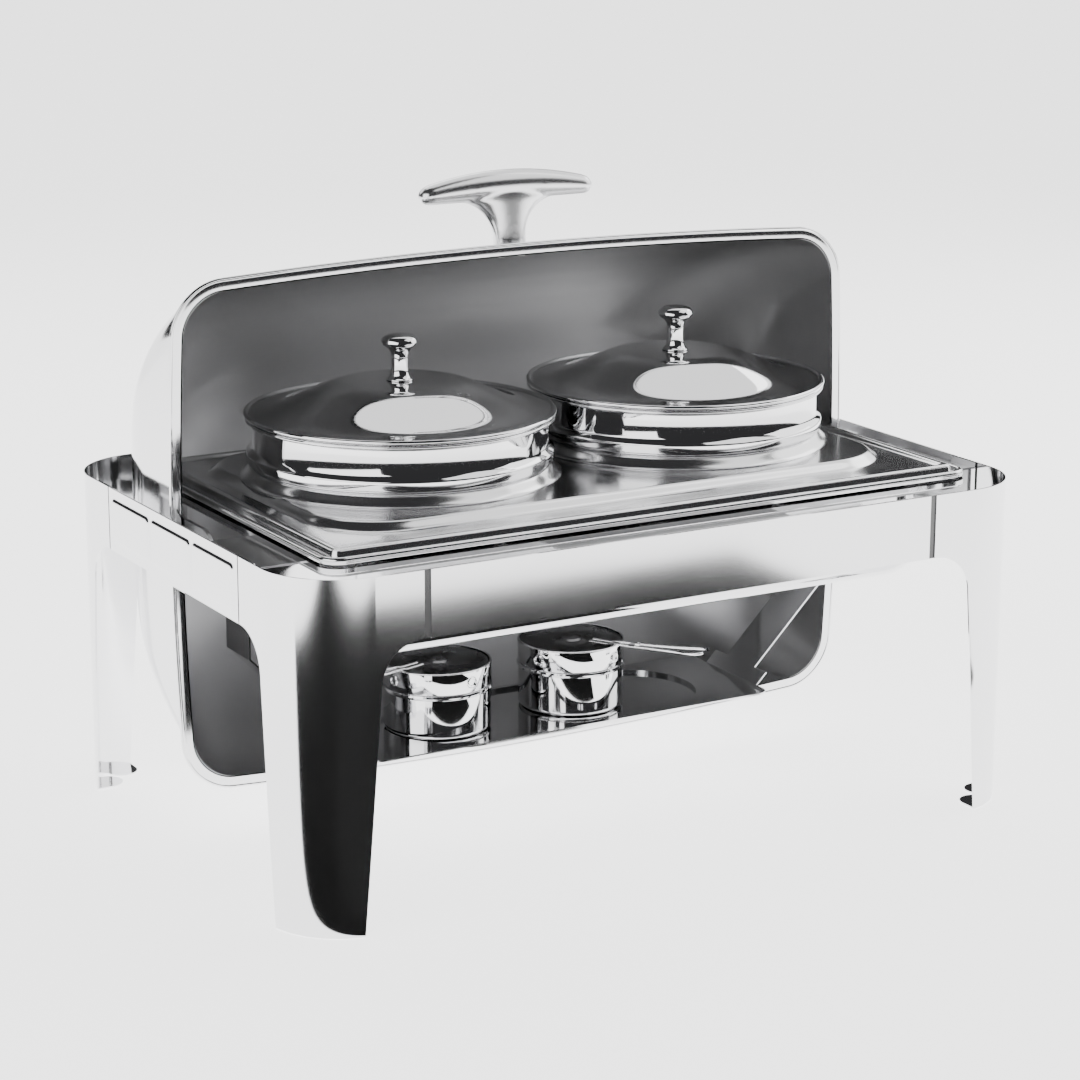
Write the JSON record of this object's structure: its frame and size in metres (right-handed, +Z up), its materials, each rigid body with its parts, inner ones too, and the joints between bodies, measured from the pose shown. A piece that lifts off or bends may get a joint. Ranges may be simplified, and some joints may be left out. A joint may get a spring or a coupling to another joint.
{
  "type": "chafing dish food warmer",
  "caption": "Stainless roll-top chafing dish on a four-leg stand, with lidded soup pots in an adapter plate, a water pan and fuel burners on a hanging tray.",
  "frame": {"origin": "on the floor, in the middle of the stand, with the roll-top cover open", "axes": "+X to the user's right along the front, +Y towards the back where the cover's hinge opens, +Z up; the front faces -Y"},
  "size_m": [0.6054, 0.413, 0.4685],
  "materials": {
    "polished_steel": "mirror polished stainless steel",
    "satin_steel": "satin stainless steel",
    "brushed_steel": "satin inside, polished outside",
    "cast_steel": "polished casting",
    "dark_steel": "dark, heat-stained steel",
    "wire_steel": "bright drawn wire"
  },
  "bodies": {
    "stand": {"leg_front_left": "polished_steel", "leg_front_right": "polished_steel", "leg_back_left": "polished_steel", "leg_back_right": "polished_steel", "front_rail": "polished_steel", "rear_rail": "polished_steel", "left_rail": "polished_steel", "right_rail": "polished_steel", "pan_cradle": "satin_steel", "front_ledge": "satin_steel", "pivot_bracket_left": "satin_steel", "pivot_bracket_right": "satin_steel", "pivot_pin_left": "polished_steel", "pivot_pin_right": "polished_steel", "pivot_washers": "satin_steel", "pivot_cap_nuts": "polished_steel", "fuel_tray": "polished_steel", "tray_screws": "satin_steel"},
    "roll_top": {"roll_top_shell": "brushed_steel", "roll_top_rim": "polished_steel", "hinge_ear_left": "satin_steel", "hinge_ear_right": "satin_steel", "ear_rivets": "satin_steel", "t_handle": "cast_steel", "handle_screws": "satin_steel"},
    "water_pan_body": {"water_pan": "polished_steel"},
    "adapter_plate_body": {"adapter_plate": "polished_steel"},
    "pot_left_body": {"soup_pot_left": "polished_steel"},
    "pot_right_body": {"soup_pot_right": "polished_steel"},
    "lid_left_body": {"pot_lid_left": "polished_steel", "lid_knob_left": "polished_steel", "knob_screw_left": "satin_steel"},
    "lid_right_body": {"pot_lid_right": "polished_steel", "lid_knob_right": "polished_steel", "knob_screw_right": "satin_steel"},
    "burner_left_body": {"burner_cup_left": "polished_steel", "burner_collar_left": "polished_steel"},
    "burner_right_body": {"burner_cup_right": "polished_steel", "burner_collar_right": "polished_steel"},
    "cover_left_body": {"burner_cover_left": "dark_steel", "burner_wire_left": "wire_steel"},
    "cover_right_body": {"burner_cover_right": "dark_steel", "burner_wire_right": "wire_steel"}
  },
  "joints": [
    {"name": "roll_top_hinge", "type": "hinge", "parent": "stand", "child": "roll_top", "pos_m": [0, -0.006, 0.222], "axis": [1, 0, 0], "range_deg": [0, 90]},
    {"name": "water_pan_lift", "type": "slide", "parent": "stand", "child": "water_pan_body", "axis": [0, 0, -1], "range_m": [-0.04, 0]},
    {"name": "adapter_plate_lift", "type": "slide", "parent": "water_pan_body", "child": "adapter_plate_body", "axis": [0, 0.7071, -0.7071], "range_m": [-0.3, 0]},
    {"name": "pot_left_lift", "type": "slide", "parent": "adapter_plate_body", "child": "pot_left_body", "axis": [0, 0, -1], "range_m": [-0.065, 0]},
    {"name": "pot_right_lift", "type": "slide", "parent": "adapter_plate_body", "child": "pot_right_body", "axis": [0, 0, -1], "range_m": [-0.065, 0]},
    {"name": "lid_left_lift", "type": "slide", "parent": "pot_left_body", "child": "lid_left_body", "axis": [0, 0.7071, -0.7071], "range_m": [-0.25, 0]},
    {"name": "lid_right_lift", "type": "slide", "parent": "pot_right_body", "child": "lid_right_body", "axis": [0, 0.7071, -0.7071], "range_m": [-0.25, 0]},
    {"name": "burner_left_draw", "type": "slide", "parent": "stand", "child": "burner_left_body", "axis": [0, 0.9848, -0.1736], "range_m": [-0.26, 0]},
    {"name": "burner_right_draw", "type": "slide", "parent": "stand", "child": "burner_right_body", "axis": [0, 0.9848, -0.1736], "range_m": [-0.26, 0]},
    {"name": "cover_left_turn", "type": "hinge", "parent": "burner_left_body", "child": "cover_left_body", "pos_m": [-0.088, 0.006, 0.114], "axis": [0, 0, 1], "range_deg": [0, 60]},
    {"name": "cover_right_turn", "type": "hinge", "parent": "burner_right_body", "child": "cover_right_body", "pos_m": [0.028, 0.006, 0.114], "axis": [0, 0, 1], "range_deg": [0, 60]}
  ]
}
